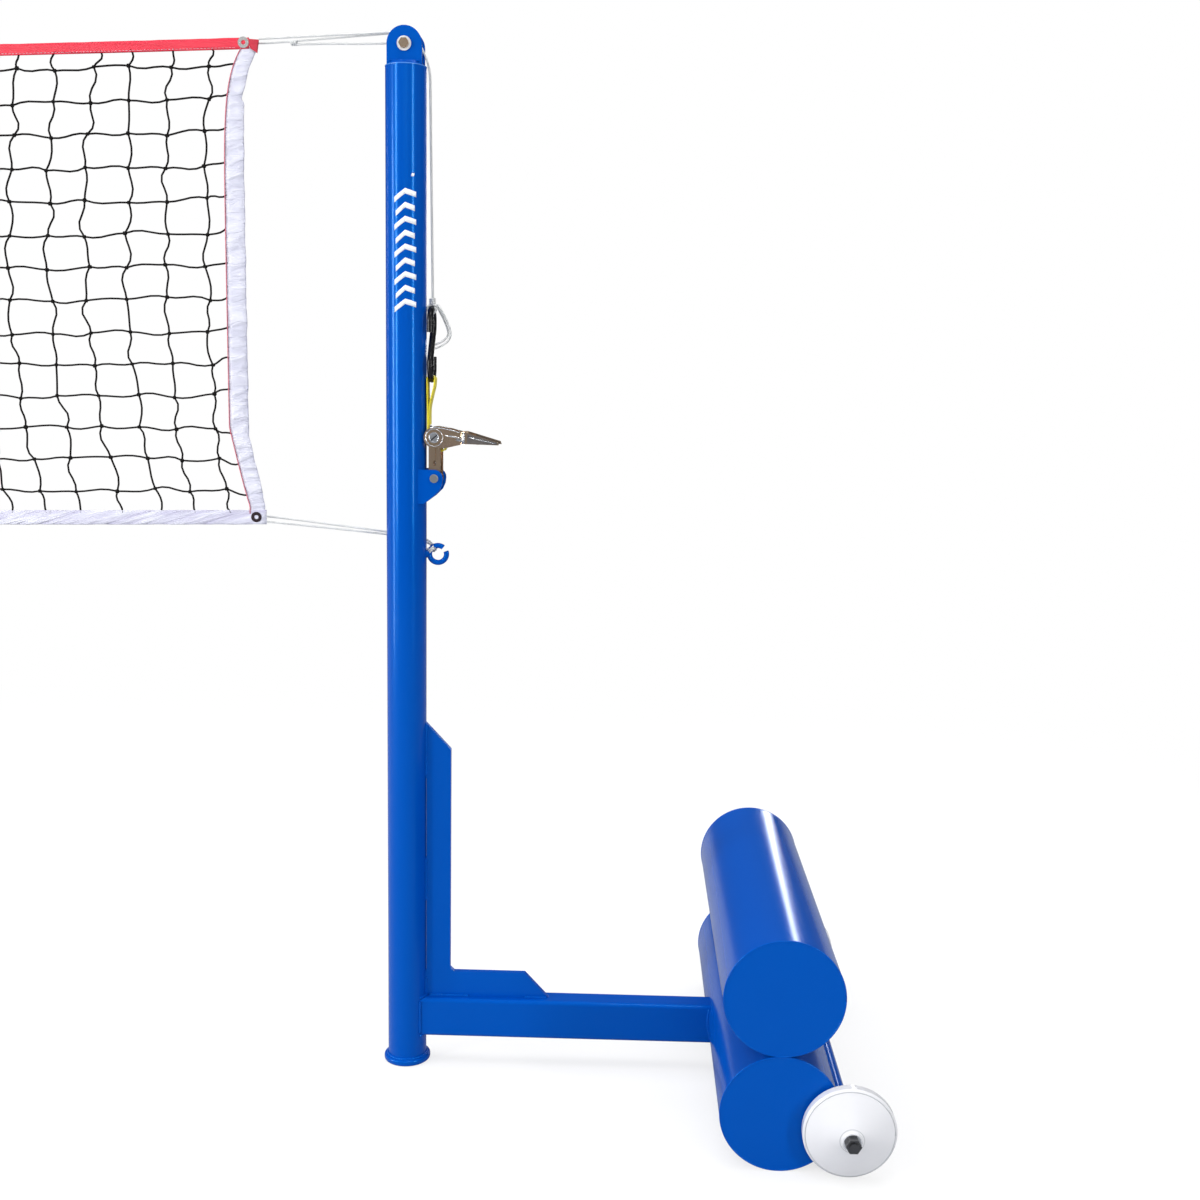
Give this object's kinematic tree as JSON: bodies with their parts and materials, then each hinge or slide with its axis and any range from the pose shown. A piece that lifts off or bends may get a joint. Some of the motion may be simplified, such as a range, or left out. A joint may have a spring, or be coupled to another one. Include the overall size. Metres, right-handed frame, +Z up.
{
  "type": "volleyball net set",
  "caption": "Free-standing net strung between weighted, wheeled posts, with rope sheaves at the post heads and a webbing ratchet that tightens the headline.",
  "frame": {"origin": "middle of the set on the floor, half way between the posts", "axes": "+X along the net towards the post with the ratchet, +Y across the net, +Z up"},
  "size_m": [7.9754, 0.7276, 1.581],
  "materials": {
    "blue_paint": "glossy royal blue enamel",
    "bright_zinc": "bright zinc plating",
    "yellow_zinc": "yellow chromate zinc plating",
    "dark_zinc": "dark zinc plating",
    "sheave_plastic": "moulded white nylon",
    "wheel_plastic": "smooth moulded white",
    "rope_white": "braided cord",
    "webbing_yellow": "woven webbing",
    "tape_red": "folded coated tape",
    "tape_white": "folded woven tape",
    "net_black": "knotted twine",
    "vinyl_black": "dipped vinyl over steel",
    "spring_steel": "drawn wire",
    "ballast": "cast concrete",
    "eyelet_metal": "pressed eyelet"
  },
  "bodies": {
    "stand": {"post_tube": "blue_paint", "post_cap": "blue_paint", "foot_disc": "blue_paint", "head_cheek": "blue_paint", "sheave_bolt": "yellow_zinc", "bolt_washer": "bright_zinc", "lock_nuts": "bright_zinc", "open_eye": "blue_paint", "gusset_plate": "blue_paint", "beam": "blue_paint", "weight_shell": "blue_paint", "weight_end_disc": "blue_paint", "ballast_fill": "ballast", "weld_bead": "blue_paint", "axle_sleeve": "blue_paint", "axle_rod": "dark_zinc", "axle_washer": "bright_zinc", "axle_nut": "dark_zinc", "bracket_lug": "blue_paint", "bracket_bolt": "bright_zinc", "rope_spacer": "bright_zinc", "s_hook": "vinyl_black", "tension_strap": "webbing_yellow", "headline_rope_right": "rope_white", "lashing_rope_right": "rope_white", "headline_rope_left": "rope_white", "lashing_rope_left": "rope_white", "lashing_tail": "rope_white", "hitch_loop_outer": "rope_white", "hitch_loop_inner": "rope_white", "bottom_rope_upper_right": "rope_white", "bottom_rope_lower_right": "rope_white", "bottom_rope_upper_left": "rope_white", "bottom_rope_lower_left": "rope_white", "rope_knots": "rope_white", "top_tape": "tape_red", "bottom_tape": "tape_white", "side_tape_right": "tape_white", "side_tape_left": "tape_white", "net_mesh": "net_black", "eyelets": "eyelet_metal"},
    "wheel_right_front": {"wheel_right_front": "wheel_plastic"},
    "wheel_right_rear": {"wheel_right_rear": "wheel_plastic"},
    "wheel_left_front": {"wheel_left_front": "wheel_plastic"},
    "wheel_left_rear": {"wheel_left_rear": "wheel_plastic"},
    "sheave_right": {"sheave_right": "sheave_plastic"},
    "sheave_left": {"sheave_left": "sheave_plastic"},
    "ratchet_body": {"ratchet_frame": "yellow_zinc", "lock_spring": "spring_steel", "strap_tail": "webbing_yellow"},
    "drum": {"strap_drum": "bright_zinc", "drum_gears": "yellow_zinc", "strap_wrap": "webbing_yellow"},
    "lock_pawl": {"lock_pawl": "yellow_zinc"},
    "handle": {"ratchet_handle": "yellow_zinc", "handle_grip": "vinyl_black", "release_spring": "spring_steel"},
    "release_pawl": {"release_pawl": "bright_zinc"}
  },
  "joints": [
    {"name": "wheel_right_front_spin", "type": "hinge", "parent": "stand", "child": "wheel_right_front", "pos_m": [3.92274, -0.329, 0.07], "axis": [0, 1, 0], "continuous": true},
    {"name": "wheel_right_rear_spin", "type": "hinge", "parent": "stand", "child": "wheel_right_rear", "pos_m": [3.92274, 0.329, 0.07], "axis": [0, 1, 0], "continuous": true},
    {"name": "wheel_left_front_spin", "type": "hinge", "parent": "stand", "child": "wheel_left_front", "pos_m": [-3.92274, -0.329, 0.07], "axis": [0, 1, 0], "continuous": true},
    {"name": "wheel_left_rear_spin", "type": "hinge", "parent": "stand", "child": "wheel_left_rear", "pos_m": [-3.92274, 0.329, 0.07], "axis": [0, 1, 0], "continuous": true},
    {"name": "sheave_right_spin", "type": "hinge", "parent": "stand", "child": "sheave_right", "pos_m": [3.264, 0, 1.5556], "axis": [0, 1, 0], "continuous": true},
    {"name": "sheave_left_spin", "type": "hinge", "parent": "stand", "child": "sheave_left", "pos_m": [-3.264, 0, 1.5556], "axis": [0, 1, 0], "continuous": true},
    {"name": "ratchet_swing", "type": "hinge", "parent": "stand", "child": "ratchet_body", "pos_m": [3.3085, 0, 0.9334], "axis": [0, 1, 0], "range_deg": [0, 50]},
    {"name": "drum_spin", "type": "hinge", "parent": "ratchet_body", "child": "drum", "pos_m": [3.3085, 0, 0.9943], "axis": [0, -1, 0], "continuous": true},
    {"name": "lock_pawl_slide", "type": "slide", "parent": "ratchet_body", "child": "lock_pawl", "axis": [0, 0, -1], "range_m": [0, 0.006], "stiffness_N_per_m": 600, "springref_m": -0.004, "deforming": ["lock_spring"]},
    {"name": "handle_swing", "type": "hinge", "parent": "ratchet_body", "child": "handle", "pos_m": [3.3085, 0, 0.9943], "axis": [0, -1, 0], "range_deg": [-20, 65]},
    {"name": "release_pawl_slide", "type": "slide", "parent": "handle", "child": "release_pawl", "axis": [0.9962, 0, -0.0872], "range_m": [0, 0.006], "stiffness_N_per_m": 600, "springref_m": -0.004, "deforming": ["release_spring"]}
  ]
}
